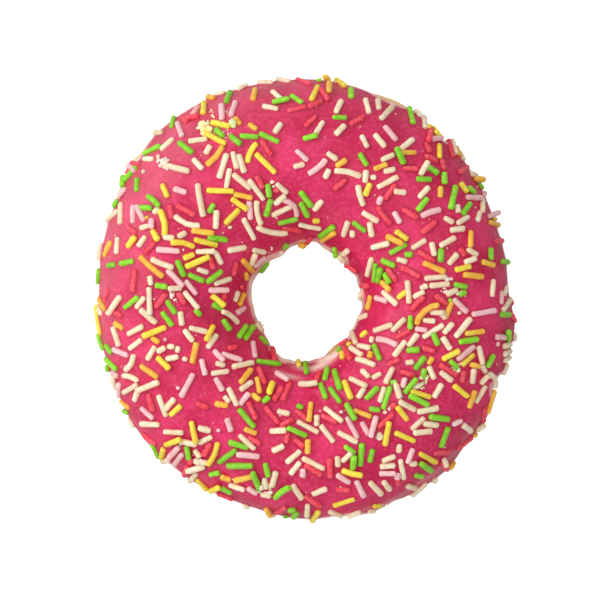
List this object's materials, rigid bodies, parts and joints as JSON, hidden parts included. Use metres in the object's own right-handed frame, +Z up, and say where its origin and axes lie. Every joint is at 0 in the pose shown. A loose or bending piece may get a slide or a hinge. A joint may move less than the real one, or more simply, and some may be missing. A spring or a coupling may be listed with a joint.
{
  "type": "sprinkle frosted doughnut",
  "caption": "Ring doughnut of fried dough with a coat of pink frosting over its upper half, scattered with coloured sugar sprinkles; a sweet snack eaten by hand.",
  "frame": {"origin": "in the middle of the doughnut's outline seen from above, on the surface that it rests on", "axes": "+Z up through the hole; +Y close to the ring's long direction; +X to the right of +Y seen from above"},
  "size_m": [0.091, 0.0964, 0.0307],
  "materials": {
    "dough_crust": "matte",
    "pink_frosting": "satin",
    "cream_sugar": "satin",
    "green_sugar": "satin",
    "yellow_sugar": "satin",
    "orange_sugar": "satin",
    "pink_sugar": "satin",
    "red_sugar": "satin"
  },
  "bodies": {
    "root": {"dough": "dough_crust", "frosting": "pink_frosting"}
  },
  "joints": []
}
